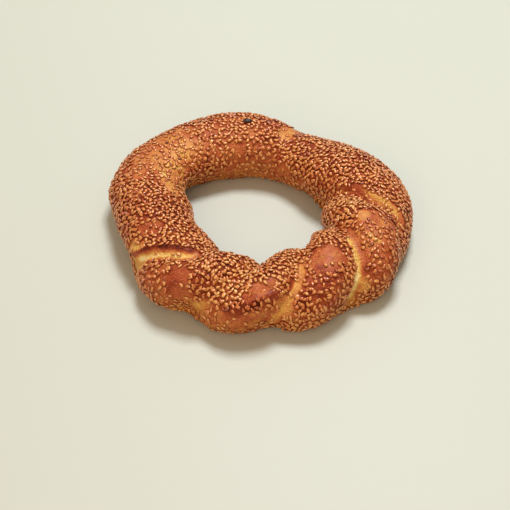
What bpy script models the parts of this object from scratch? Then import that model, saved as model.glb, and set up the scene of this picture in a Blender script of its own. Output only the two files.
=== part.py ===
"""Simit: a twisted ring of sesame bread, one piece of dough.

Two strands are twisted round each other and closed into a ring, so the section
is a pinched round, like a soft figure eight, which turns as it goes round the
ring. Each turn of half a round brings the next crease over the top. The
underside is flat where the dough settled on the baking tray.

Metres, +Z up. The origin is on the ground under the middle of the ring's box.
"""
import bpy
import numpy as np

# Round the ring, evenly spaced from +X towards +Y.
RING_RADIUS = 0.001 * np.array([62.0, 56.5, 55.0, 61.5, 63.0, 63.5,
                                54.0, 55.5, 60.0, 65.0, 62.5, 62.5])   # middle of the dough
DOUGH_RADIUS = 0.001 * np.array([25.5, 23.0, 18.0, 21.0, 21.5, 20.5,
                                 22.5, 22.0, 24.0, 21.5, 23.5, 25.5])  # the strands' outer reach
PINCH = np.array([0.34, 0.27, 0.15, 0.13, 0.13, 0.15,
                  0.20, 0.31, 0.34, 0.35, 0.36, 0.37])                 # strand offset, creases deepen with it

# Each crease runs from the outer foot over the crest to the inner foot: ring angles in degrees.
CREASES = np.array([
    [212.0, 237.5, 262.0],
    [246.0, 264.0, 283.0],
    [277.5, 292.5, 312.0],
    [306.0, 321.0, 337.0],
    [336.0, 354.0, 374.0],
    [431.0, 430.5, 436.0],
    [472.0, 495.0, 538.0],
])
CREASE_BLEND = 3.0        # degrees over which the spacing of the creases evens out
CREASE_ROUNDING = 0.07    # softness of the bottom of a crease, as a share of the dough's radius

MID_HEIGHT = 0.0128       # middle of the dough above the tray
TOP_HEIGHT = 0.74         # the upper half is lower than round
UNDER_HEIGHT = 0.85       # the lower half too, and the tray cuts it off
UNDER_CLOSING = 0.9       # how far the creases have closed underneath
SETTLE = 0.0015           # how gently the side rolls into the flat base

RING_STEPS = 168
SECTION_STEPS = 26

CRUST = {"Base Color": (0.47, 0.17, 0.055, 1.0), "Roughness": 0.5, "Metallic": 0.0}


def clear_scene():
    for thing in list(bpy.data.objects):
        bpy.data.objects.remove(thing, do_unlink=True)


def round_the_ring(angle, values):
    """A smooth closed curve through values evenly spaced round the ring (angle in radians)."""
    place = np.mod(angle, 2 * np.pi) / (2 * np.pi) * len(values)
    at = np.floor(place).astype(int)
    part = place - at
    before, here, after, beyond = (values[(at + step) % len(values)] for step in (-1, 0, 1, 2))
    return 0.5 * (2 * here + (after - before) * part
                  + (2 * before - 5 * here + 4 * after - beyond) * part ** 2
                  + (3 * here - before - 3 * after + beyond) * part ** 3)


def crease_count(angle, crossings):
    """How many creases lie before each ring angle (radians), as an even, rising number."""
    turns = len(crossings)
    degrees = np.arange(-360.0, 720.0)
    marks = np.concatenate([crossings + 360.0 * lap for lap in (-2, -1, 0, 1, 2)])
    count = np.interp(degrees, marks, np.arange(-2 * turns, 3 * turns))
    reach = np.arange(-12, 13)
    weights = np.exp(-0.5 * (reach / CREASE_BLEND) ** 2)
    count = np.convolve(count, weights / weights.sum(), mode="same")
    return np.interp(np.degrees(angle), degrees, count)


def twist(ring, section):
    """The turn of the two strands at each point, in creases passed."""
    outer, crest, inner = CREASES.T
    two_on = np.roll(outer, -2) + np.array([0.0] * (len(outer) - 2) + [360.0] * 2)
    under = 0.5 * (inner + two_on)
    counts = [crease_count(ring, line) for line in (outer, crest, inner, under)]
    counts.append(counts[0] - 2.0)          # once round the section is two creases
    quarter = section / (0.5 * np.pi)
    start = np.minimum(np.floor(quarter).astype(int), 3)
    blend = quarter - start
    blend = np.where(start < 2, blend, blend ** 2 * (3.0 - 2.0 * blend))   # steep at the foot, across under it
    low = np.choose(start, counts[:4])
    high = np.choose(start, counts[1:])
    return np.pi * (low * (1.0 - blend) + high * blend)


def larger(a, b, rounding):
    """The larger of two numbers, rounded over where they cross."""
    return 0.5 * (a + b + np.sqrt((a - b) ** 2 + rounding ** 2))


def dough_surface(ring, section):
    """Points of the dough for ring angles and section angles (0 outwards, 90 degrees up)."""
    turn = twist(ring, section)
    rise = np.sin(section)
    offset = round_the_ring(ring, PINCH) * (1.0 - UNDER_CLOSING * np.minimum(rise, 0.0) ** 2)
    side = offset * np.sin(turn)
    strand = np.sqrt(1.0 - (offset * np.cos(turn)) ** 2)
    reach = larger(strand + side, strand - side, CREASE_ROUNDING) / (1.0 + offset)
    reach = reach * round_the_ring(ring, DOUGH_RADIUS)
    height = MID_HEIGHT + np.where(rise > 0.0, TOP_HEIGHT, UNDER_HEIGHT) * reach * rise
    settled = np.where(height > SETTLE, height, (height + SETTLE) ** 2 / (4.0 * SETTLE))
    settled = np.where(height < -SETTLE, 0.0, settled)
    out = round_the_ring(ring, RING_RADIUS) + reach * np.cos(section)
    return np.stack([out * np.cos(ring), out * np.sin(ring), settled], axis=-1)


def make_simit():
    middle = RING_RADIUS.mean()
    bpy.ops.mesh.primitive_torus_add(
        major_segments=RING_STEPS, minor_segments=SECTION_STEPS,
        major_radius=middle, minor_radius=DOUGH_RADIUS.mean(), align='WORLD')
    simit = bpy.context.object
    simit.name = "simit"
    simit.data.name = "simit"
    points = np.array([vertex.co for vertex in simit.data.vertices], dtype=float)
    ring = np.mod(np.arctan2(points[:, 1], points[:, 0]), 2 * np.pi)
    from_middle = np.hypot(points[:, 0], points[:, 1]) - middle
    section = np.mod(np.arctan2(points[:, 2], from_middle), 2 * np.pi)
    shaped = dough_surface(ring, section)
    low, high = shaped.min(axis=0), shaped.max(axis=0)
    shaped[:, :2] -= 0.5 * (low + high)[:2]
    for vertex, place in zip(simit.data.vertices, shaped):
        vertex.co = place
    simit.data.update()
    simit.data.shade_smooth()
    return simit


def crust_material():
    crust = bpy.data.materials.new("crust")
    crust.use_nodes = True
    shader = crust.node_tree.nodes["Principled BSDF"]
    for name, value in CRUST.items():
        shader.inputs[name].default_value = value
    return crust


clear_scene()
make_simit().data.materials.append(crust_material())
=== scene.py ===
import math
import bmesh
import bpy
import numpy as np
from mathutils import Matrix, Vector, noise


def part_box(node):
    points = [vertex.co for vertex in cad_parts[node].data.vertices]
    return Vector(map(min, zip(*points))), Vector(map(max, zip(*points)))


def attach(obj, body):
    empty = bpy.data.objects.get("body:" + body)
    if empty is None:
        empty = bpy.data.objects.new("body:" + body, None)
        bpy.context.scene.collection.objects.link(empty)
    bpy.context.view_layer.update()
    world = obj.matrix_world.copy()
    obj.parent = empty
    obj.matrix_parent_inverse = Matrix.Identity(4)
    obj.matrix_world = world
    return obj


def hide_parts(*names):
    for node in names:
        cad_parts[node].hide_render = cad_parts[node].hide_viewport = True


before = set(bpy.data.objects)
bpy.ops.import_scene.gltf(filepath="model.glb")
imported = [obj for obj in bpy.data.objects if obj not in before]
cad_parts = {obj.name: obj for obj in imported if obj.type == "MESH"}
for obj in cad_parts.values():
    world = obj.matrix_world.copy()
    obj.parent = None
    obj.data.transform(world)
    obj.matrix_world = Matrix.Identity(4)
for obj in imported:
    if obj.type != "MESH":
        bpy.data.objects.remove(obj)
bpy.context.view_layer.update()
low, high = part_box("simit")
halfWidth = 0.5 * (high.x - low.x)
boxMiddle = Vector((0.5 * (low.x + high.x), 0.5 * (low.y + high.y), low.z))
print("frame loaded, ring", round(2 * halfWidth, 4), "m wide")


# Sockets that Python's operators work on, in shader and geometry trees alike.
class Wire:
    def __init__(self, graph, socket):
        self.graph = graph
        self.socket = socket

    def __add__(self, other):
        return self.graph.maths('ADD', self, other)

    def __radd__(self, other):
        return self.graph.maths('ADD', other, self)

    def __sub__(self, other):
        return self.graph.maths('SUBTRACT', self, other)

    def __rsub__(self, other):
        return self.graph.maths('SUBTRACT', other, self)

    def __mul__(self, other):
        return self.graph.maths('MULTIPLY', self, other)

    def __rmul__(self, other):
        return self.graph.maths('MULTIPLY', other, self)

    def __truediv__(self, other):
        return self.graph.maths('DIVIDE', self, other)

    def __rtruediv__(self, other):
        return self.graph.maths('DIVIDE', other, self)

    def __pow__(self, other):
        return self.graph.maths('POWER', self, other)

    def __gt__(self, other):
        return self.graph.maths('GREATER_THAN', self, other)

    def __lt__(self, other):
        return self.graph.maths('LESS_THAN', self, other)

    def clamped(self):
        return self.graph.maths('MAXIMUM', self.graph.maths('MINIMUM', self, 1.0), 0.0)


class Graph:
    def __init__(self, tree):
        self.tree = tree
        tree.nodes.clear()

    def node(self, kind, settings=None, sockets=None):
        made = self.tree.nodes.new(kind)
        for name, value in (settings or {}).items():
            if name == "stops":
                self.setStops(made.color_ramp, value)
            else:
                setattr(made, name, value)
        for name, value in (sockets or {}).items():
            self.feed(made.inputs[name], value)
        return made

    def feed(self, socket, value):
        if isinstance(value, Wire):
            value = value.socket
        if isinstance(value, bpy.types.NodeSocket):
            self.tree.links.new(value, socket)
        else:
            socket.default_value = value

    def setStops(self, ramp, stops):
        while len(ramp.elements) < len(stops):
            ramp.elements.new(1.0)
        for element, (place, colour) in zip(ramp.elements, stops):
            element.position = place
            element.color = colour

    def wire(self, kind, output, settings=None, sockets=None):
        return Wire(self, self.node(kind, settings, sockets).outputs[output])

    def maths(self, operation, *values):
        inputs = dict(enumerate(values))
        return self.wire('ShaderNodeMath', 0, {"operation": operation}, inputs)

    def darkened(self, colour, by, share):
        settings = {"data_type": 'RGBA', "blend_type": 'MULTIPLY'}
        return self.wire('ShaderNodeMix', 2, settings, {0: share, 6: colour, 7: by})

    def painted(self, name):    # a number kept on the mesh, in a shader tree
        return self.wire('ShaderNodeAttribute', "Fac", {"attribute_name": name})

    def stored(self, name, kind='FLOAT'):    # the same, in a geometry tree
        return self.wire('GeometryNodeInputNamedAttribute', 0, {"data_type": kind}, {"Name": name})

    def store(self, geometry, name, value, kind='FLOAT'):
        settings = {"data_type": kind, "domain": 'POINT'}
        sockets = {"Geometry": geometry, "Name": name, "Value": value}
        return self.wire('GeometryNodeStoreNamedAttribute', 0, settings, sockets)


# One geometry tree; inputs gives each named input its socket type and value.
class Recipe(Graph):
    def __init__(self, name, inputs):
        tree = bpy.data.node_groups.new(name, 'GeometryNodeTree')
        super().__init__(tree)
        tree.interface.new_socket("Geometry", in_out='INPUT', socket_type='NodeSocketGeometry')
        tree.interface.new_socket("Geometry", in_out='OUTPUT', socket_type='NodeSocketGeometry')
        self.identifiers = {}
        self.values = {}
        for label, (kind, value) in inputs.items():
            made = tree.interface.new_socket(label, in_out='INPUT', socket_type="NodeSocket" + kind)
            self.identifiers[label] = made.identifier
            self.values[label] = value
        self.group = self.node('NodeGroupInput')

    def given(self, label):
        return Wire(self, self.group.outputs[label])

    def moved(self, geometry, **sockets):
        return self.wire('GeometryNodeSetPosition', 0, None, {"Geometry": geometry, **sockets})

    def movedAlong(self, geometry, direction, distance):
        sockets = {0: direction, "Scale": distance}
        offset = self.wire('ShaderNodeVectorMath', 0, {"operation": 'SCALE'}, sockets)
        return self.moved(geometry, Offset=offset)

    def raised(self, geometry, operation, *limits):    # what lies lower than a limit is brought up to it
        place = self.wire('GeometryNodeInputPosition', 0)
        parts = self.node('ShaderNodeSeparateXYZ', None, {0: place}).outputs
        height = self.maths(operation, parts[2], *limits)
        placed = self.wire('ShaderNodeCombineXYZ', 0, None, {0: parts[0], 1: parts[1], 2: height})
        return self.moved(geometry, Position=placed)

    def end(self, geometry, material):
        smooth = self.wire('GeometryNodeSetShadeSmooth', 0, None, {"Geometry": geometry})
        real = self.wire('GeometryNodeRealizeInstances', 0, None, {"Geometry": smooth})
        coated = self.wire('GeometryNodeSetMaterial', 0, None, {"Geometry": real, "Material": material})
        self.node('NodeGroupOutput', None, {"Geometry": coated})

    def make(self, host, name, kept):    # the tree's result on host's mesh, as a plain mesh object
        modifier = host.modifiers.new(self.tree.name, 'NODES')
        modifier.node_group = self.tree
        for label, identifier in self.identifiers.items():
            modifier[identifier] = self.values[label]
        evaluated = host.evaluated_get(bpy.context.evaluated_depsgraph_get())
        mesh = bpy.data.meshes.new_from_object(evaluated)
        discard(host)
        mesh.name = name
        working = ('FLOAT', 'FLOAT_VECTOR', 'QUATERNION')
        for old in [attribute.name for attribute in mesh.attributes]:
            if old not in (*kept, "position") and mesh.attributes[old].data_type in working:
                mesh.attributes.remove(mesh.attributes[old])
        return newObject(name, mesh)


def numbers(values, names):    # a recipe's inputs from a dictionary of sizes
    return {name: ("Float", values[name]) for name in names}


def newObject(name, data):
    made = bpy.data.objects.new(name, data)
    bpy.context.scene.collection.objects.link(made)
    return made


def discard(piece):
    mesh = piece.data
    bpy.data.objects.remove(piece)
    bpy.data.meshes.remove(mesh)


def newMaterial(name):
    material = bpy.data.materials.new(name)
    material.use_nodes = True
    return material, Graph(material.node_tree)


def addMesh(name, points, edges=(), faces=()):
    mesh = bpy.data.meshes.new(name)
    mesh.from_pydata([tuple(point) for point in points], edges, faces)
    return newObject(name, mesh)


def keep(mesh, name, values):
    attribute = mesh.attributes.get(name) or mesh.attributes.new(name, 'FLOAT', 'POINT')
    attribute.data.foreach_set("value", np.asarray(values, dtype=np.float32))


def read(mesh, name):
    values = np.zeros(len(mesh.vertices), dtype=np.float32)
    mesh.attributes[name].data.foreach_get("value", values)
    return values.astype(float)


# The camera looks down on the ring from the front.
viewing = {
    "elevation": 41.2,       # degrees
    "distance": 0.70,        # metres
    "lens": 92.3,            # millimetres
    "nearest": 0.01,
    "aim": (-0.0034, -0.0185, 0.0),    # from the middle of the ring
}


def makeCamera():
    data = bpy.data.cameras.new("camera")
    data.lens = viewing["lens"]
    data.clip_start = viewing["nearest"]
    camera = newObject("camera", data)
    tilt = math.radians(viewing["elevation"])
    back = Vector((0.0, -math.cos(tilt), math.sin(tilt)))
    camera.location = boxMiddle + Vector(viewing["aim"]) + viewing["distance"] * back
    camera.rotation_euler = (0.5 * math.pi - tilt, 0.0, 0.0)
    bpy.context.scene.camera = camera


makeCamera()


# The dough is two strands twisted round each other and closed into a ring. Lengths are shares
# of half the ring's width, and stations are evenly spaced from +X towards +Y.
dough = {
    "ringSteps": 540,
    "sectionSteps": 176,
    "crowding": 0.35,        # closer steps over the top than underneath
    "ringCentre": (-0.0471, 0.0168),
    "ringRadius": [0.762, 0.695, 0.676, 0.756, 0.775, 0.781,
                   0.664, 0.682, 0.738, 0.799, 0.768, 0.768],
    "doughRadius": [0.314, 0.283, 0.221, 0.258, 0.264, 0.252,
                    0.277, 0.271, 0.295, 0.264, 0.289, 0.314],
    "pinch": [0.34, 0.27, 0.15, 0.13, 0.13, 0.15,
              0.20, 0.31, 0.34, 0.35, 0.36, 0.37],
    "creaseBlend": 3.0,      # degrees
    "rounding": 0.22,        # of a crease's bottom
    "underClosing": 0.9,
    "topHeight": 0.731,
    "underHeight": 0.85,
    "middleHeight": 0.0128,  # metres from here on
    "settle": 0.0015,
    "inset": 0.0005,         # room for the seeds within the solid
}

# Each crease from the outer foot over the crest to the inner foot, in degrees round the ring.
creases = [
    {"outer": 212.0, "crest": 237.5, "inner": 262.0},
    {"outer": 246.0, "crest": 263.0, "inner": 278.0},
    {"outer": 277.5, "crest": 292.5, "inner": 312.0},
    {"outer": 306.0, "crest": 321.0, "inner": 337.0},
    {"outer": 336.0, "crest": 354.0, "inner": 374.0},
    {"outer": 431.0, "crest": 430.5, "inner": 436.0},
    {"outer": 476.0, "crest": 512.0, "inner": 547.0},
]


def roundTheRing(turn, values):    # a smooth closed curve through the stations; turn from 0 to 1
    values = np.array(values)
    place = turn * len(values)
    at = np.floor(place).astype(int)
    part = place - at
    before, here, after, beyond = (values[(at + step) % len(values)] for step in (-1, 0, 1, 2))
    return 0.5 * (2 * here + (after - before) * part
                  + (2 * before - 5 * here + 4 * after - beyond) * part ** 2
                  + (3 * here - before - 3 * after + beyond) * part ** 3)


def creasesPassed(turn, crossings):    # a rising, evened count of the creases before each place
    laps = (-2, -1, 0, 1, 2)
    marks = np.concatenate([crossings + 360.0 * lap for lap in laps])
    degrees = np.arange(-360.0, 720.0)
    count = np.interp(degrees, marks, np.arange(len(marks)) - 2 * len(crossings))
    reach = np.arange(-12, 13)    # degrees
    weights = np.exp(-0.5 * (reach / dough["creaseBlend"]) ** 2)
    count = np.convolve(count, weights / weights.sum(), mode="same")
    return np.interp(360.0 * turn, degrees, count)


def makePath():    # the line the twist follows, with its sizes at every point
    turn = np.arange(dough["ringSteps"]) / dough["ringSteps"]
    rows = ("outer", "crest", "inner")
    outer, crest, inner = (np.array([crease[row] for crease in creases]) for row in rows)
    twoOn = np.roll(outer, -2)    # underneath, a crease runs on to the outer foot of the next but one
    twoOn[-2:] += 360.0
    radius = halfWidth * roundTheRing(turn, dough["ringRadius"])
    angle = 2.0 * math.pi * turn
    points = np.stack([radius * np.cos(angle), radius * np.sin(angle), np.zeros(len(turn))], axis=1)
    count = len(turn)
    path = addMesh("path", points, [(i, (i + 1) % count) for i in range(count)])
    keep(path.data, "ringAngle", angle)
    keep(path.data, "ringRadius", radius)
    keep(path.data, "doughRadius", halfWidth * roundTheRing(turn, dough["doughRadius"]))
    keep(path.data, "pinch", roundTheRing(turn, dough["pinch"]))
    lines = {"outerCount": outer, "crestCount": crest, "innerCount": inner,
             "underCount": 0.5 * (inner + twoOn)}
    for name, line in lines.items():
        keep(path.data, name, creasesPassed(turn, line))
    return path


def twistRecipe(material):
    sizes = ("crowding", "rounding", "underClosing", "topHeight", "underHeight",
             "middleHeight", "settle", "inset")
    recipe = Recipe("twistedDough", {
        **numbers(dough, sizes),
        "sectionSteps": ("Int", dough["sectionSteps"]),
        "centre": ("Vector", boxMiddle + halfWidth * Vector((*dough["ringCentre"], 0.0))),
        "material": ("Material", material),
    })
    given, maths = recipe.given, recipe.maths
    path = recipe.wire('GeometryNodeMeshToCurve', 0, None, {"Mesh": given("Geometry")})
    ring = recipe.wire('GeometryNodeCurvePrimitiveCircle', 0, None, {"Resolution": given("sectionSteps")})
    index = recipe.wire('GeometryNodeInputIndex', 0)
    even = 2.0 * math.pi * index / given("sectionSteps")
    angle = maths('WRAP', even + given("crowding") * maths('COSINE', even), 2.0 * math.pi, 0.0)
    ring = recipe.store(ring, "sectionAngle", angle)
    tube = recipe.wire('GeometryNodeCurveToMesh', 0, None, {"Curve": path, "Profile Curve": ring})

    section = recipe.stored("sectionAngle")
    quarter = section / (0.5 * math.pi)
    steps = [(quarter - start).clamped() for start in range(4)]
    steps[2:] = [step * step * (3.0 - 2.0 * step) for step in steps[2:]]
    names = ("outerCount", "crestCount", "innerCount", "underCount")
    counts = [recipe.stored(name) for name in names]
    counts.append(counts[0] - 2.0)    # once round the section is two creases
    passed = counts[0]
    for step, before, after in zip(steps, counts, counts[1:]):
        passed = passed + step * (after - before)
    turn = math.pi * passed

    rise = maths('SINE', section)
    below = maths('MINIMUM', rise, 0.0)
    offset = recipe.stored("pinch") * (1.0 - given("underClosing") * below * below)
    side = offset * maths('SINE', turn)
    strand = maths('SQRT', 1.0 - (offset * maths('COSINE', turn)) ** 2.0)
    rounding = given("rounding")
    gap = 2.0 * side
    reach = strand + 0.5 * maths('SQRT', gap * gap + rounding * rounding)
    reach = reach / (1.0 + offset) * recipe.stored("doughRadius") - given("inset")
    above = rise > 0.0
    flattening = given("underHeight") + above * (given("topHeight") - given("underHeight"))
    height = given("middleHeight") + flattening * reach * rise
    settle = given("settle")
    eased = (height + settle) * (height + settle) / (4.0 * settle)
    free = height > settle
    pressed = height < 0.0 - settle
    height = (1.0 - pressed) * (free * height + (1.0 - free) * eased)
    out = recipe.stored("ringRadius") + reach * maths('COSINE', section)
    angle = recipe.stored("ringAngle")
    place = recipe.wire('ShaderNodeCombineXYZ', 0, None, {
        "X": out * maths('COSINE', angle), "Y": out * maths('SINE', angle), "Z": height})
    tube = recipe.store(tube, "creaseCount", passed)
    shaped = recipe.moved(tube, Position=place, Offset=given("centre"))
    outward = recipe.wire('GeometryNodeFlipFaces', 0, None, {"Mesh": shaped})
    recipe.end(outward, given("material"))
    return recipe


bakedCrust, bakedGraph = newMaterial("bakedCrust")
ringLayers = ("ringAngle", "sectionAngle", "creaseCount")
doughPiece = twistRecipe(bakedCrust).make(makePath(), "dough", ringLayers)
print("dough twisted,", len(doughPiece.data.polygons), "faces")


# The oven tore the creases open, with one row here for each of them. Spans are in section degrees,
# and widths, shifts, edges and bare strips in metres. In edges, bare and bake the first value is for
# the side before the crease (smaller ring angles) and the second for the side after it. The pale
# band's middle drifts from the first shift to the second along its span, and a positive lean makes
# the side after the crease the steeper wall.
# In bake, a wall darkened beside a crease is partly the crust's own browning and partly painted shade of the
# steep wall, most on the first crease's before side and the fifth's after side.
tears = [
    {"span": (12.0, 92.0), "width": 0.0026, "shift": (0.0016, 0.0004), "edges": (0.0026, 0.0006),
     "pale": 1.0, "bareSpan": (4.0, 104.0), "bare": (0.0032, 0.0028), "bake": (0.44, 0.04), "lean": -0.8},
    {"span": (-16.0, 30.0), "width": 0.0046, "shift": (0.0016, 0.0016), "edges": (0.0012, 0.002),
     "pale": 0.1, "bareSpan": (-22.0, 24.0), "bare": (0.0008, 0.0056), "bake": (0.0, 0.02), "lean": -0.4},
    {"span": (-30.0, 112.0), "width": 0.003, "shift": (0.0006, -0.001), "edges": (0.0008, 0.0022),
     "pale": 0.38, "bareSpan": (-34.0, 112.0), "bare": (0.0016, 0.0026), "bake": (0.0, 0.08), "lean": 0.2},
    {"span": (-14.0, 104.0), "width": 0.0036, "shift": (0.0014, -0.001), "edges": (0.0008, 0.0018),
     "pale": 1.0, "bareSpan": (-18.0, 104.0), "bare": (0.0016, 0.0052), "bake": (0.0, 0.12), "lean": -0.5},
    {"span": (42.0, 98.0), "width": 0.0026, "shift": (0.0002, 0.0018), "edges": (0.002, 0.0022),
     "pale": 0.7, "bareSpan": (24.0, 138.0), "bare": (0.001, 0.0026), "bake": (0.0, 0.18), "lean": 0.9},
    {"span": (30.0, 40.0), "width": 0.0036, "shift": (0.0, 0.0), "edges": (0.001, 0.001),
     "pale": 0.0, "bareSpan": (26.0, 108.0), "bare": (0.0024, 0.0024), "bake": (-0.06, -0.04), "lean": 0.0},
    {"span": (106.0, 138.0), "width": 0.0028, "shift": (0.0, 0.0), "edges": (0.002, 0.002),
     "pale": 0.9, "bareSpan": (104.0, 144.0), "bare": (0.0012, 0.001), "bake": (-0.1, -0.06), "lean": 0.6},
]

# Ragged oval patches: place is ring and section in degrees, and size is the half-lengths, which
# lean turns from along the ring towards across it. bare thins the seeds, bake browns the crust
# and toast browns the seeds.
spots = [
    {"place": (241.0, 43.0), "size": (0.012, 0.007), "lean": 110.0, "bare": 0.94, "bake": 0.15},
    {"place": (237.0, 12.0), "size": (0.013, 0.009), "bare": 0.55, "bake": 0.04},
    {"place": (231.0, 26.0), "size": (0.008, 0.01), "bare": 0.4, "bake": 0.02},
    {"place": (272.0, 60.0), "size": (0.0125, 0.004), "lean": 35.0, "bare": 0.74, "bake": -0.03},
    {"place": (267.0, 5.0), "size": (0.0165, 0.0052), "lean": 4.0, "bare": 0.84, "bake": 0.05},
    {"place": (266.0, 350.0), "size": (0.019, 0.006), "bare": 0.68, "bake": 0.08},
    {"place": (251.0, 346.0), "size": (0.013, 0.007), "bare": 0.7},
    {"place": (244.5, 337.0), "size": (0.01, 0.005), "bare": 0.6},
    {"place": (311.7, 9.3), "size": (0.0045, 0.005), "bare": 0.8, "bake": -0.1},
    {"place": (307.0, 342.0), "size": (0.003, 0.005), "bare": 0.75, "bake": -0.06},
    {"place": (281.0, 24.0), "size": (0.0045, 0.006), "lean": 20.0, "bare": 0.86, "bake": 0.08},
    {"place": (277.0, 49.0), "size": (0.004, 0.003), "lean": 30.0, "bare": 0.85, "bake": 0.22},
    {"place": (266.0, 33.0), "size": (0.01, 0.0048), "lean": 25.0, "bake": 0.17, "toast": 0.11},
    {"place": (303.0, 79.0), "size": (0.0106, 0.0094), "lean": 8.0, "bare": 0.88, "bake": 0.05},
    {"place": (299.0, 32.0), "size": (0.011, 0.013), "bare": 0.4, "bake": 0.08},
    {"place": (322.0, 30.0), "size": (0.011, 0.012), "bare": 0.42, "bake": 0.04, "toast": 0.04},
    {"place": (336.0, 45.0), "size": (0.012, 0.012), "bare": 0.36, "bake": -0.05, "toast": 0.08},
    {"place": (250.0, 76.0), "size": (0.02, 0.011), "toast": -0.06},
    {"place": (270.0, 84.0), "size": (0.014, 0.011), "toast": -0.08},
    {"place": (297.0, 66.0), "size": (0.006, 0.004), "lean": 20.0, "bare": 0.5, "bake": 0.05},
    {"place": (332.0, 70.0), "size": (0.016, 0.01), "lean": 25.0, "bare": 0.6, "bake": -0.04, "toast": 0.05},
    {"place": (336.5, 91.0), "size": (0.0046, 0.004), "bare": 0.97, "bake": -0.09},
    {"place": (327.3, 64.0), "size": (0.0018, 0.0052), "bare": 0.92, "bake": -0.1},
    {"place": (346.0, 122.0), "size": (0.013, 0.01), "bake": -0.02, "toast": -0.1},
    {"place": (146.0, 100.0), "size": (0.026, 0.013), "lean": -6.0,
     "bare": 0.58, "bake": -0.05, "toast": 0.06},
    {"place": (138.0, 131.0), "size": (0.015, 0.008), "bare": 0.46, "bake": -0.07, "toast": 0.04},
    {"place": (106.0, 105.0), "size": (0.018, 0.02), "bare": 0.26, "bake": -0.05, "toast": 0.03},
    {"place": (96.0, 150.0), "size": (0.024, 0.008), "bare": 0.3},
    {"place": (156.0, 142.0), "size": (0.012, 0.008), "lean": 20.0, "bare": 0.4, "bake": -0.12},
    {"place": (140.0, 114.0), "size": (0.02, 0.0065), "lean": -6.0, "bare": 0.6, "bake": -0.07},
    {"place": (172.0, 119.0), "size": (0.0085, 0.0034), "lean": 18.0, "bare": 0.66, "bake": -0.14},
    {"place": (126.0, 72.0), "size": (0.006, 0.004), "bare": 0.7, "bake": -0.08},
    {"place": (145.0, 70.0), "size": (0.017, 0.008), "bare": 0.55},
    {"place": (86.0, 196.0), "size": (0.036, 0.011), "bare": 0.58, "bake": 0.1},
    {"place": (181.3, 65.3), "size": (0.005, 0.0036), "lean": 10.0, "bare": 0.55, "bake": -0.02},
    {"place": (260.0, 44.0), "size": (0.0085, 0.005), "lean": 10.0, "toast": -0.2},
    {"place": (75.0, 78.0), "size": (0.016, 0.01), "bare": 0.12, "toast": 0.1},
    {"place": (72.5, 78.0), "size": (0.0036, 0.01), "bare": 0.76, "bake": -0.03},
    {"place": (213.0, 11.0), "size": (0.01, 0.008), "bare": 0.92, "bake": -0.12},
    {"place": (208.0, 74.0), "size": (0.009, 0.007), "bare": 0.4, "bake": 0.06},
]

# Where the crust burst and its edge stands up, as points of ring and section.
folds = [[(258.0, 12.0), (263.0, 24.0), (268.7, 41.3), (278.7, 53.3)]]

# Lumps and, below 0, dents that the hands and the oven left.
knocks = [
    {"place": (316.0, 158.0), "size": (0.006, 0.008), "height": -0.0024},
    {"place": (303.0, 150.0), "size": (0.006, 0.008), "height": 0.001},
    {"place": (143.0, 204.0), "size": (0.011, 0.013), "height": -0.003},
    {"place": (124.0, 198.0), "size": (0.013, 0.013), "height": -0.003},
    {"place": (44.0, 204.0), "size": (0.009, 0.011), "height": -0.0024},
    {"place": (24.0, 204.0), "size": (0.01, 0.013), "height": -0.003},
    {"place": (82.0, 208.0), "size": (0.012, 0.008), "height": -0.0014},
    {"place": (277.0, 320.0), "size": (0.0056, 0.007), "height": -0.0026},
    {"place": (244.0, 326.0), "size": (0.01, 0.01), "height": -0.0036},
    {"place": (236.0, 326.0), "size": (0.006, 0.01), "height": 0.0015},
    {"place": (298.0, 318.0), "size": (0.009, 0.009), "height": 0.0018},
    {"place": (340.0, 350.0), "size": (0.012, 0.01), "height": 0.001},
    {"place": (198.0, 342.0), "size": (0.015, 0.011), "height": -0.002},
    {"place": (310.0, 337.0), "size": (0.008, 0.009), "height": -0.0015},
    {"place": (168.0, 8.0), "size": (0.009, 0.009), "height": 0.0015},
    {"place": (67.0, 52.0), "size": (0.006, 0.007), "height": -0.0016},
    {"place": (184.0, 12.0), "size": (0.009, 0.01), "height": -0.0012},
]

oven = {
    "base": 0.48,            # browning of a wall; 0 is raw and 1 is nearly burnt
    "crest": 0.10,           # more on what faces up
    "midLobe": 0.05,         # more between the creases
    "foot": 0.05,            # less near the tray
    "seedGapSyrupAndShade": 0.27,      # more between crowded seeds: painted shade in the gaps, partly the syrup that pools there
    "patchy": 0.08,
    "underneath": 0.35,      # share of the seeds that holds on underneath
    "pale": 0.40,            # browning that a torn band loses
    "patchScale": 260.0,     # ragged edges, per metre
    "patchRagged": 0.25,     # of a patch's reach
    "patchEdge": (0.75, 1.2),
    "patchDepth": 1.2,       # how deep it reaches, of its longer half-length
    "bandRagged": 0.0006,
    "bareEdge": 0.0009,
    "spanEase": 7.0,         # degrees over which a band begins and ends
    "wallEase": 15.0,
    "wallReach": 0.0032,     # of a steep wall, from its crease
    "foldWidth": 0.0016,
    "footEdge": (0.1, 0.6),  # shares of the height
    "underEdge": (0.3, 0.8),     # how far down it faces
    "mottleScale": 90.0,
    "sectionMiddle": 20.0,   # sections run 180 degrees to either side of it
}


def unit(vectors):
    return vectors / np.linalg.norm(vectors, axis=-1, keepdims=True)


def wrapped(degrees):
    return (degrees + 180.0) % 360.0 - 180.0


def smoothRise(values, start, stop):    # 0 before start, 1 after stop
    part = np.clip((values - start) / (stop - start), 0.0, 1.0)
    return part * part * (3.0 - 2.0 * part)


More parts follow.
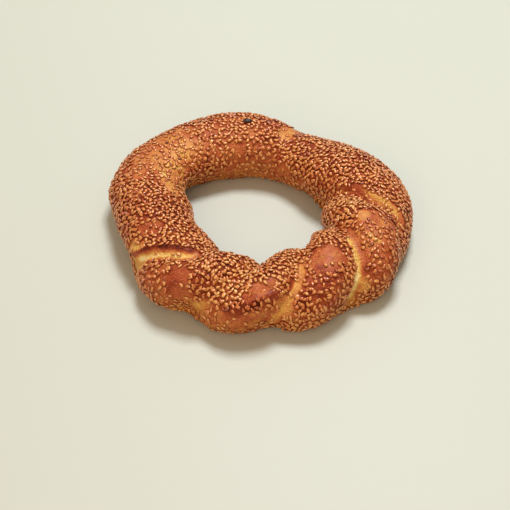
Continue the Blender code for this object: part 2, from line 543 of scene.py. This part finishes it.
# The dough's surface as arrays, with a value for each point of the mesh.
class Skin:
    def __init__(self, mesh):
        rows = (dough["ringSteps"], dough["sectionSteps"])
        flat = np.zeros(3 * len(mesh.vertices), dtype=np.float32)
        mesh.vertices.foreach_get("co", flat)
        self.points = flat.reshape(-1, 3).astype(float)
        self.ring = np.degrees(read(mesh, "ringAngle"))
        fromMiddle = np.degrees(read(mesh, "sectionAngle")) - oven["sectionMiddle"]
        self.section = wrapped(fromMiddle) + oven["sectionMiddle"]
        grid = self.points.reshape(*rows, 3)
        alongRing = np.roll(grid, -1, 0) - np.roll(grid, 1, 0)
        across = np.roll(grid, -1, 1) - np.roll(grid, 1, 1)
        self.alongRing = unit(alongRing).reshape(-1, 3)
        self.normal = unit(np.cross(alongRing, across)).reshape(-1, 3)
        self.across = np.cross(self.normal, self.alongRing)
        self.count = read(mesh, "creaseCount")
        self.measureCreases(self.count.reshape(rows), alongRing, across)
        self.patchy = self.noise(oven["patchScale"], 0.0)

    def measureCreases(self, count, alongRing, across):    # signed metres to the nearest crease
        steps = [np.roll(count, -1, axis) - np.roll(count, 1, axis) for axis in (0, 1)]
        ahead, up = (step - np.round(step) for step in steps)
        aheadLength = (alongRing ** 2).sum(-1)
        upLength = (across ** 2).sum(-1)
        skew = (alongRing * across).sum(-1)
        slope = ahead ** 2 * upLength - 2.0 * ahead * up * skew + up ** 2 * aheadLength
        slope = np.sqrt(slope / (aheadLength * upLength - skew ** 2))
        self.toCrease = ((count - np.round(count)) / slope).ravel()
        passed = self.count + 2.0 * (self.section < 0.0)
        self.crease = np.round(passed).astype(int) % len(creases)

    def noise(self, scale, shift):    # from -1 to 1
        offset = Vector((shift, 0.5 * shift, -shift))
        return np.array([noise.noise(Vector(point) * scale + offset) for point in self.points])

    def at(self, ring, section):    # the number of the point nearest a place
        return (wrapped(self.ring - ring) ** 2 + wrapped(self.section - section) ** 2).argmin()

    def reach(self, row):    # 1 at the edge of the leaning oval that a row gives
        size = row["size"]
        middle = self.at(*row["place"])
        offset = self.points - self.points[middle]
        ahead, up, out = (offset @ axis[middle] for axis in (self.alongRing, self.across, self.normal))
        turn = math.radians(row.get("lean", 0.0))
        first = (ahead * math.cos(turn) + up * math.sin(turn)) / size[0]
        second = (up * math.cos(turn) - ahead * math.sin(turn)) / size[1]
        return np.sqrt(first ** 2 + second ** 2 + (out / (oven["patchDepth"] * max(size))) ** 2)

    def patch(self, row):
        ragged = self.reach(row) + oven["patchRagged"] * self.patchy
        return 1.0 - smoothRise(ragged, *oven["patchEdge"])

    def swell(self, row):
        return np.exp(-self.reach(row) ** 2)

    def inSpan(self, span, ease):
        low, high = span
        on = smoothRise(self.section, low - ease, low + ease)
        return on * (1.0 - smoothRise(self.section, high - ease, high + ease))

    def along(self, span, ends):    # from the first value to the second over a span
        return np.interp(self.section, span, ends)

    def strip(self, span, start, stop, edges):    # along a crease, between two signed distances
        side = self.toCrease + oven["bandRagged"] * self.patchy
        on = self.inSpan(span, oven["spanEase"]) * smoothRise(side - start, -edges[0], edges[0])
        return on * (1.0 - smoothRise(side - stop, -edges[1], edges[1]))

    def toLine(self, line):    # metres to a line over the surface
        stops = [self.points[self.at(*place)] for place in line]
        nearest = np.full(len(self.points), np.inf)
        for start, stop in zip(stops, stops[1:]):
            step = stop - start
            share = np.clip((self.points - start) @ step / (step @ step), 0.0, 1.0)
            gap = np.linalg.norm(self.points - start - share[:, None] * step, axis=1)
            nearest = np.minimum(nearest, gap)
        return nearest


def bakeDough(mesh):
    skin = Skin(mesh)
    facingUp = np.clip(skin.normal[:, 2], 0.0, 1.0)
    height = skin.points[:, 2] / skin.points[:, 2].max()
    midLobe = 0.5 - 0.5 * np.cos(2.0 * math.pi * skin.count)
    pale, bare, toast, wall = (np.zeros(len(skin.points)) for _ in range(4))
    reach = skin.toCrease / oven["wallReach"]
    leaning = reach * np.exp(0.5 - 0.5 * reach ** 2)
    bake = oven["base"] + oven["crest"] * facingUp + oven["midLobe"] * midLobe * facingUp
    bake -= oven["foot"] * (1.0 - smoothRise(height, *oven["footEdge"]))
    bareEdges = (oven["bareEdge"], oven["bareEdge"])
    for number, tear in enumerate(tears):
        here = skin.crease == number
        middle = skin.along(tear["span"], tear["shift"])
        half = 0.5 * tear["width"]
        band = here * skin.strip(tear["span"], middle - half, middle + half, tear["edges"])
        reaches = ((-tear["bare"][0], 0.0), (0.0, tear["bare"][1]))
        # the bare strips beside a crease take bake: browning, and painted shade on a steep wall
        for (start, stop), browningAndShade in zip(reaches, tear["bake"]):
            side = here * skin.strip(tear["bareSpan"], start, stop, bareEdges)
            bare = np.maximum(bare, side)
            bake += browningAndShade * side * (1.0 - band)
        pale = np.maximum(pale, tear["pale"] * band)
        wall += here * tear["lean"] * skin.inSpan(tear["bareSpan"], oven["wallEase"]) * leaning
    for spot in spots:
        share = skin.patch(spot)
        bare = np.maximum(bare, spot.get("bare", 0.0) * share)
        bake += spot.get("bake", 0.0) * share
        toast += spot.get("toast", 0.0) * share
    under = smoothRise(-skin.normal[:, 2], *oven["underEdge"])
    seeding = (1.0 - bare) * (1.0 - under * (1.0 - oven["underneath"]))
    # crowded seeds darken the crust between them: painted shade in the gaps, partly pooled syrup; it stays
    # in bake and so darkens those seeds too
    bake += oven["seedGapSyrupAndShade"] * seeding + oven["patchy"] * skin.noise(oven["mottleScale"], 5.0)
    fold = sum(np.exp(-(skin.toLine(line) / oven["foldWidth"]) ** 2) for line in folds)
    knock = sum(row["height"] * skin.swell(row) for row in knocks)
    layers = {"bake": np.clip(bake - oven["pale"] * pale, 0.0, 1.0), "pale": pale,
              "seeding": seeding, "toast": toast, "fold": fold, "wall": wall, "knock": knock}
    for name, values in layers.items():
        keep(mesh, name, values)
    return skin


skin = bakeDough(doughPiece.data)
thinned = (read(doughPiece.data, "seeding") < 0.5).mean()
print("baked: seeds thin out over", round(100 * float(thinned)), "% of it")


# The crust's own unevenness.
relief = {
    "lumpHeight": 0.0007,
    "lumpScale": 70.0,       # per metre
    "rippleHeight": 0.00022,
    "rippleScale": 330.0,
    "foldHeight": 0.0011,
    "wallHeight": 0.0018,
    "tray": 0.0003,          # the crust stands on the lowest seeds
}


def reliefRecipe(material):
    recipe = Recipe("crustRelief", {**numbers(relief, relief), "material": ("Material", material)})
    given = recipe.given
    lumps = recipe.wire('ShaderNodeTexNoise', "Fac", None, {"Scale": given("lumpScale"), "Detail": 2.0})
    ripples = recipe.wire('ShaderNodeTexNoise', "Fac", None, {"Scale": given("rippleScale"), "Detail": 2.0})
    height = given("lumpHeight") * 2.0 * (lumps - 0.5)
    height = height + given("rippleHeight") * 2.0 * (ripples - 0.5)
    height = height + given("foldHeight") * recipe.stored("fold")
    height = height + given("wallHeight") * recipe.stored("wall") + recipe.stored("knock")
    normal = recipe.wire('GeometryNodeInputNormal', 0)
    rough = recipe.movedAlong(given("Geometry"), normal, height)
    recipe.end(recipe.raised(rough, 'SMOOTH_MAX', given("tray"), given("tray")), given("material"))
    return recipe


bakeLayers = ("bake", "pale", "seeding", "toast")
doughPiece = reliefRecipe(bakedCrust).make(doughPiece, "dough", bakeLayers)
print("crust roughened")


# The sesame, in metres where nothing else is said.
sesame = {
    "length": 0.0033,
    "width": 0.0020,
    "thickness": 0.0011,
    "point": 0.7,            # 0 is a round end
    "fullness": 1.16,        # makes up for the width that the point takes
    "shoulder": (0.68, 0.84),    # shares of the outline and of half the thickness
    "crown": -0.1,           # the top's place, towards the round end
    "rims": (1.0, 0.2, 0.0, 0.8),    # how much edge, shoulder, crown and belly darken: a toasted edge, with painted shade where the seed meets the crust
    "outlineSteps": 8,
    "spacing": 0.0022,       # where crowded
    "upperSpacing": 0.0027,  # of the seeds that lie on others
    "looseSpacing": 0.0027,
    "sunkSpacing": 0.0036,   # of the seeds the crust half swallowed
    "most": 700000.0,        # tries per square metre
    "crowdedFrom": 0.55,     # seeds crowd where at least this share holds on
    "sunkFrom": 0.12,
    "change": 4.0,           # how quickly the one gives way to the other
    "lift": 0.00022,         # of a seed's middle above the crust
    "liftSpread": 0.00014,
    "upperLift": 0.00030,    # more for the ones on top
    "sunk": -0.00036,        # and less for the swallowed ones
    "hidden": 420.0,         # browner for each metre that a seed lies lower
    "tilt": 13.0,            # degrees either way
    "flowScale": 95.0,       # per metre, of the neighbours that lie the same way
    "flowTurns": 3.0,        # that they turn through from place to place
    "stray": 36.0,           # degrees either way that a seed strays from them
    "sizeSpread": 0.17,
    "toneSpread": 0.44,
    "paleTone": 0.315,       # of a seed on raw dough
    "toneByCrust": 0.36,     # more where the crust's bake is higher; bake holds browning and painted shade
    "darkest": 0.84,
    "toastedFrom": 0.56,     # the tone from which a seed counts as toasted
    "lowest": 0.00052,       # a seed's middle under the ring
    "tray": 0.00004,         # nothing of a seed is lower
    "randomSeed": 11,
}


def seedShape(material):    # a drop with its point towards +X: outline, shoulder, crown and belly
    count = sesame["outlineSteps"]
    long = 0.5 * sesame["length"]
    wide = 0.5 * sesame["width"] * sesame["fullness"]
    thick = 0.5 * sesame["thickness"]
    points = []
    for size, height in ((1.0, 0.0), sesame["shoulder"]):
        for step in range(count):
            turn = 2.0 * math.pi * step / count
            taper = abs(math.sin(0.5 * turn)) ** sesame["point"]
            across = size * wide * math.sin(turn) * taper
            points.append((size * long * math.cos(turn), across, height * thick))
    points += [(sesame["crown"] * long, 0.0, thick), (0.0, 0.0, -thick)]
    crown, belly = 2 * count, 2 * count + 1
    faces = []
    for step in range(count):
        after = (step + 1) % count
        faces.append((step, after, count + after, count + step))
        faces.append((count + step, count + after, crown))
        faces.append((after, step, belly))
    shape = addMesh("seedShape", points, (), faces)
    shape.data.materials.append(material)
    edge, shoulder, top, bottom = sesame["rims"]
    keep(shape.data, "rim", [edge] * count + [shoulder] * count + [top, bottom])
    return shape


def strewn(recipe, spacing, share, number, lift):    # points that keep their distance, thinned to a share
    given = recipe.given
    made = recipe.node('GeometryNodeDistributePointsOnFaces', {"distribute_method": 'POISSON'}, {
        "Mesh": given("Geometry"), "Distance Min": given(spacing), "Density Max": given("most"),
        "Density Factor": share, "Seed": given("randomSeed") + number}).outputs
    points = recipe.store(made["Points"], "seedLift", lift)
    points = recipe.store(points, "seedNormal", made["Normal"], 'FLOAT_VECTOR')
    return recipe.store(points, "seedTurn", made["Rotation"], 'QUATERNION')


def scattered(recipe, least, greatest, number):    # a random value of its own for each seed
    sockets = {2: least, 3: greatest, "Seed": recipe.given("randomSeed") + number}
    return recipe.wire('FunctionNodeRandomValue', 1, {"data_type": 'FLOAT'}, sockets)


def seedPoints(recipe):    # a loose layer, a crowded one, one that lies on it and one half swallowed
    given, change = recipe.given, sesame["change"]
    seeding = recipe.stored("seeding")
    crowded = ((seeding - sesame["crowdedFrom"]) * change).clamped()
    loose = (seeding * 2.0).clamped() * (1.0 - crowded)
    sunk = ((seeding - sesame["sunkFrom"]) * change).clamped() * (1.0 - crowded)
    layers = [strewn(recipe, "looseSpacing", loose, 0, 0.0),
              strewn(recipe, "spacing", crowded, 1, 0.0),
              strewn(recipe, "upperSpacing", crowded * crowded, 2, given("upperLift")),
              strewn(recipe, "sunkSpacing", sunk, 10, given("sunk"))]
    joined = recipe.node('GeometryNodeJoinGeometry')
    for layer in layers:
        recipe.feed(joined.inputs[0], layer)
    return joined.outputs[0]


def seedTone(recipe):    # 0 is palest and 1 darkest; the crust's bake (browning and painted shade), the depth and chance darken a seed
    given, maths = recipe.given, recipe.maths
    toast = recipe.stored("toast")
    tone = sesame["paleTone"] + sesame["toneByCrust"] * recipe.stored("bake") + toast
    tone = tone - given("hidden") * maths('MINIMUM', recipe.stored("seedLift"), 0.0)
    chance = scattered(recipe, 0.0, 1.0, 1) * scattered(recipe, 0.0, 1.0, 2)
    tone = tone + given("toneSpread") * (chance - 0.25)    # chance is 0.25 on average
    return maths('MINIMUM', tone, sesame["darkest"] + toast).clamped()


def seedTurn(recipe):    # neighbours lie roughly the same way, each tilted a little
    tilt = recipe.given("tilt")
    sockets = {"Scale": recipe.given("flowScale"), "Detail": 1.0}
    flow = recipe.wire('ShaderNodeTexNoise', "Fac", None, sockets)
    flow = 2.0 * math.pi * sesame["flowTurns"] * flow
    flow = flow + recipe.given("stray") * scattered(recipe, -1.0, 1.0, 6)
    turn = recipe.wire('ShaderNodeCombineXYZ', 0, None, {
        0: tilt * scattered(recipe, -1.0, 1.0, 4), 1: tilt * scattered(recipe, -1.0, 1.0, 5), 2: flow})
    turn = recipe.wire('FunctionNodeEulerToRotation', 0, None, {0: turn})
    upright = recipe.stored("seedTurn", 'QUATERNION')
    return recipe.wire('FunctionNodeRotateRotation', 0, {"rotation_space": 'LOCAL'}, {0: upright, 1: turn})


def seedScale(recipe):
    spread = recipe.given("sizeSpread")
    sizes = [1.0 + spread * scattered(recipe, -1.0, 1.0, number) for number in (7, 8, 9)]
    return recipe.wire('ShaderNodeCombineXYZ', 0, None, dict(enumerate(sizes)))


def sesameRecipe(name, material, toasted):
    sizes = ("spacing", "upperSpacing", "looseSpacing", "sunkSpacing", "most", "lift", "liftSpread",
             "upperLift", "sunk", "hidden", "flowScale", "sizeSpread", "toneSpread", "toastedFrom",
             "lowest", "tray")
    recipe = Recipe(name, {
        **numbers(sesame, sizes),
        "tilt": ("Float", math.radians(sesame["tilt"])),
        "stray": ("Float", math.radians(sesame["stray"])),
        "toasted": ("Float", toasted),    # 1 keeps the toasted seeds and 0 the golden ones
        "randomSeed": ("Int", sesame["randomSeed"]),
        "seedShape": ("Object", seedShape(material)),
        "material": ("Material", material),
    })
    given, maths = recipe.given, recipe.maths
    points = recipe.store(seedPoints(recipe), "tone", seedTone(recipe))
    above = recipe.stored("tone") > given("toastedFrom")
    other = maths('ABSOLUTE', above - given("toasted")) > 0.5
    points = recipe.wire('GeometryNodeDeleteGeometry', 0, {"domain": 'POINT'},
                         {"Geometry": points, "Selection": other})
    lift = given("lift") + recipe.stored("seedLift") + given("liftSpread") * scattered(recipe, -1.0, 1.0, 3)
    points = recipe.movedAlong(points, recipe.stored("seedNormal", 'FLOAT_VECTOR'), lift)
    points = recipe.raised(points, 'MAXIMUM', given("lowest"))
    info = recipe.wire('GeometryNodeObjectInfo', "Geometry", None, {"Object": given("seedShape")})
    seeds = recipe.wire('GeometryNodeInstanceOnPoints', 0, None, {
        "Points": points, "Instance": info, "Rotation": seedTurn(recipe), "Scale": seedScale(recipe)})
    seeds = recipe.wire('GeometryNodeRealizeInstances', 0, None, {"Geometry": seeds})
    recipe.end(recipe.raised(seeds, 'MAXIMUM', given("tray")), given("material"))
    return recipe


goldenSkin, goldenGraph = newMaterial("goldenSeed")
toastedSkin, toastedGraph = newMaterial("toastedSeed")
kinds = {"goldenSesame": (goldenSkin, 0.0), "toastedSesame": (toastedSkin, 1.0)}
seedPieces = []
for name, (material, toasted) in kinds.items():
    recipe = sesameRecipe(name, material, toasted)
    piece = recipe.make(newObject(name, doughPiece.data.copy()), name, ("rim", "tone"))
    discard(recipe.values["seedShape"])
    seedPieces.append(piece)
    print(name, "strewn,", len(piece.data.vertices) // (2 * sesame["outlineSteps"] + 2), "seeds")


# A burnt fleck that stuck to the crust.
fleck = {
    "place": (93.0, 87.0),   # ring and section, degrees
    "size": (0.0025, 0.0015, 0.0008),
    "lean": 12.0,
    "uneven": 0.35,
    "bulges": 2.3,           # how close together
    "subdivisions": 3,
    "lift": 0.0011,
}


def makeFleck(material):
    made = bmesh.new()
    bmesh.ops.create_icosphere(made, subdivisions=fleck["subdivisions"], radius=1.0)
    middle = skin.at(*fleck["place"])
    ahead, up, out = (Vector(axis[middle]) for axis in (skin.alongRing, skin.across, skin.normal))
    turn = math.radians(fleck["lean"])
    ahead, up = ahead * math.cos(turn) + up * math.sin(turn), up * math.cos(turn) - ahead * math.sin(turn)
    where = Vector(skin.points[middle]) + fleck["lift"] * out
    for vertex in made.verts:
        bulge = 1.0 + fleck["uneven"] * noise.noise(fleck["bulges"] * vertex.co)
        spread = [bulge * size * along for size, along in zip(fleck["size"], vertex.co)]
        vertex.co = where + spread[0] * ahead + spread[1] * up + spread[2] * out
    mesh = bpy.data.meshes.new("burntFleck")
    made.to_mesh(mesh)
    made.free()
    mesh.materials.append(material)
    mesh.shade_smooth()
    return newObject("burntFleck", mesh)


char, charGraph = newMaterial("char")
fleckPiece = makeFleck(char)


def shade(code):    # a display colour such as c88a3f as the renderer's red, green, blue
    parts = [int(code[at:at + 2], 16) / 255.0 for at in (0, 2, 4)]
    return (*[part / 12.92 if part <= 0.04045 else ((part + 0.055) / 1.055) ** 2.4 for part in parts], 1.0)


def ramp(graph, share, stops):
    stops = [(place, shade(code)) for place, code in stops]
    return graph.wire('ShaderNodeValToRGB', "Color", {"stops": stops}, {"Fac": share})


def grain(graph, scale, detail=2.0):    # a fine unevenness around 0
    place = graph.wire('ShaderNodeTexCoord', "Object")
    sockets = {"Vector": place, "Scale": scale, "Detail": detail}
    return graph.wire('ShaderNodeTexNoise', "Fac", None, sockets) - 0.5


def cells(graph, scale, size):    # round spots that rise from 0 at their edge
    place = graph.wire('ShaderNodeTexCoord', "Object")
    away = graph.wire('ShaderNodeTexVoronoi', "Distance", None, {"Vector": place, "Scale": scale})
    return size - away


def weighed(layers, shares):    # the layers added up, each by its share
    return sum(share * layers[name] for name, share in shares.items())


def finishMaterial(graph, colour, roughness, height, distance, constants):
    bump = graph.wire('ShaderNodeBump', 0, None, {"Strength": 1.0, "Distance": distance, "Height": height})
    sockets = {"Base Color": colour, "Roughness": roughness, "Normal": bump, **constants}
    surface = graph.wire('ShaderNodeBsdfPrincipled', 0, None, sockets)
    graph.node('ShaderNodeOutputMaterial', None, {"Surface": surface})


crustLook = {
    "browningAndShade": [(0.0, "fce6aa"), (0.18, "f4ca7a"), (0.36, "dfa84e"), (0.52, "cc843f"),
                 (0.68, "ba5f32"), (0.84, "953a16"), (1.0, "5e1802")],
    # how far each layer moves the colour along the browning: pimples lighter as a painted highlight on their
    # tops, pores darker as painted shade in them
    "rampShifts": {"broad": 0.525, "fine": 0.45, "pimple": -0.5, "pore": 0.5, "crumb": -0.6},
    "stands": {"fine": 0.9, "broad": 1.2, "pimple": 3.6, "pore": -1.4, "crumb": 1.6},
    "bump": 0.0005,          # metres, times the shares above
    "roughness": 0.48,
    "tornRoughness": 0.2,    # more where it is torn
    "grainRoughness": 0.25,
    "specular": 0.14,
    "gloss": 0.16,           # of the bare crust
    "glossRoughness": 0.4,
    "broadScale": 170.0,     # scales are per metre
    "grainScale": 1500.0,
    "crumbScale": 620.0,
    "pimpleScale": 540.0,
    "pimpleSize": 0.42,
    "poreScale": 1000.0,
    "poreSize": 0.26,
    "poreSides": 6.0,        # how steep
    "porePatches": (0.06, 12.0),    # pores gather where the broad grain is high
}


def finishCrust(graph):    # pimpled and glossy where baked, with pores and open crumb where torn
    look = crustLook
    bake, pale = graph.painted("bake"), graph.painted("pale")
    broad = grain(graph, look["broadScale"], 4.0)
    fine = grain(graph, look["grainScale"], 4.0)
    pimple = cells(graph, look["pimpleScale"], look["pimpleSize"]).clamped() * (1.0 - pale)
    # pores: dark dots in the torn crumb, the darkness painted shade in them
    pore = (cells(graph, look["poreScale"], look["poreSize"]) * look["poreSides"]).clamped()
    more, steep = look["porePatches"]
    pore = pore * pale * ((broad + more) * steep).clamped()
    crumb = grain(graph, look["crumbScale"], 3.0) * pale
    layers = {"broad": broad, "fine": fine, "pimple": pimple, "pore": pore, "crumb": crumb}
    # the ramp takes bake, the painted shade between crowded seeds included, with pimples lighter as a
    # painted highlight and pores darker as painted shade
    colour = ramp(graph, bake + weighed(layers, look["rampShifts"]), look["browningAndShade"])
    roughness = look["roughness"] + look["tornRoughness"] * pale + look["grainRoughness"] * fine
    gloss = look["gloss"] * (1.0 - graph.painted("seeding")).clamped()
    finishMaterial(graph, colour, roughness, weighed(layers, look["stands"]), look["bump"],
                   {"Specular IOR Level": look["specular"], "Coat Weight": gloss,
                    "Coat Roughness": look["glossRoughness"]})


seedLook = {
    "tones": [(0.0, "ffe09c"), (0.3, "f4b466"), (0.55, "dc8a42"),
              (0.75, "c45c1c"), (0.9, "943204"), (1.0, "702406")],
    # the rim colour: the toasted edge, darkened further as painted shade where the seed meets the crust
    "rim": "741a00",
    "rimShare": 0.75,
    "streakScale": 1300.0,   # per metre
    "streaks": 0.35,
    "roughness": 0.30,
    "streakRoughness": 0.3,
    "specular": 0.8,
    "sheenTint": "ffdcb4",
    "gloss": 0.6,
    "glossRoughness": 0.22,
    "bump": 0.00012,
}


def finishSeeds(graph):    # an oily husk, darker at its rim: toasted there, and painted shade where it meets the crust
    look = seedLook
    tone, rim = graph.painted("tone"), graph.painted("rim")
    streak = grain(graph, look["streakScale"])
    colour = ramp(graph, tone + look["streaks"] * streak, look["tones"])
    # towards the rim the husk's toasted edge and painted contact shade darken each seed
    colour = graph.darkened(colour, shade(look["rim"]), (rim * (look["rimShare"] + streak)).clamped())
    roughness = look["roughness"] + look["streakRoughness"] * streak
    finishMaterial(graph, colour, roughness, streak, look["bump"],
                   {"Specular IOR Level": look["specular"], "Specular Tint": shade(look["sheenTint"]),
                    "Coat Weight": look["gloss"], "Coat Roughness": look["glossRoughness"]})


charLook = {
    "tones": [(0.3, "120a08"), (0.7, "35201a")],
    "speckScale": 1800.0,
    "roughness": 0.5,
    "speckRoughness": 0.4,
    "bump": 0.0003,
}


def finishChar(graph):
    speck = grain(graph, charLook["speckScale"], 4.0)
    colour = ramp(graph, 0.5 + speck, charLook["tones"])
    roughness = charLook["roughness"] + charLook["speckRoughness"] * speck
    finishMaterial(graph, colour, roughness, speck, charLook["bump"], {})


finishCrust(bakedGraph)
finishSeeds(goldenGraph)
finishSeeds(toastedGraph)
finishChar(charGraph)
print("finishes done")


# The floor and the light, in metres and watts.
studio = {
    "floor": "bfc0b1",
    "floorSize": 4.0,
    "floorRoughness": 0.55,
    "floorGrain": 60.0,
    "floorBump": 0.0001,
    "sky": ("fff4e2", 0.45),
    "lights": [
        {"from": (0.15, 0.50, 1.15), "reach": 1.5, "size": 0.46, "tint": "f1f7ff", "power": 23.4},
        {"from": (-0.3, -0.9, 0.6), "reach": 1.6, "size": 1.0, "tint": "ffdfc0", "power": 9.0},
    ],
}


def makeFloor():
    half = 0.5 * studio["floorSize"]
    corners = [(-half, -half, 0.0), (half, -half, 0.0), (half, half, 0.0), (-half, half, 0.0)]
    floor = addMesh("floor", corners, (), [(0, 1, 2, 3)])
    material, graph = newMaterial("paleFloor")
    finishMaterial(graph, shade(studio["floor"]), studio["floorRoughness"],
                   grain(graph, studio["floorGrain"]), studio["floorBump"], {})
    floor.data.materials.append(material)
    return floor


def makeLights():
    world = bpy.data.worlds.new("sky")
    world.use_nodes = True
    sky = Graph(world.node_tree)
    code, strength = studio["sky"]
    light = sky.wire('ShaderNodeBackground', 0, None, {"Color": shade(code), "Strength": strength})
    sky.node('ShaderNodeOutputWorld', None, {"Surface": light})
    bpy.context.scene.world = world
    for number, lamp in enumerate(studio["lights"]):
        data = bpy.data.lights.new("softLight" + str(number), 'AREA')
        data.size = lamp["size"]
        data.energy = lamp["power"]
        data.color = shade(lamp["tint"])[:3]
        made = newObject(data.name, data)
        away = Vector(lamp["from"]).normalized()
        made.location = lamp["reach"] * away
        made.rotation_euler = away.to_track_quat('Z', 'Y').to_euler()


floor = makeFloor()
makeLights()
bpy.context.scene.view_settings.view_transform = 'Standard'

for piece in [doughPiece, fleckPiece, *seedPieces]:
    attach(piece, "root")
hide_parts("simit")

print("all pieces placed")
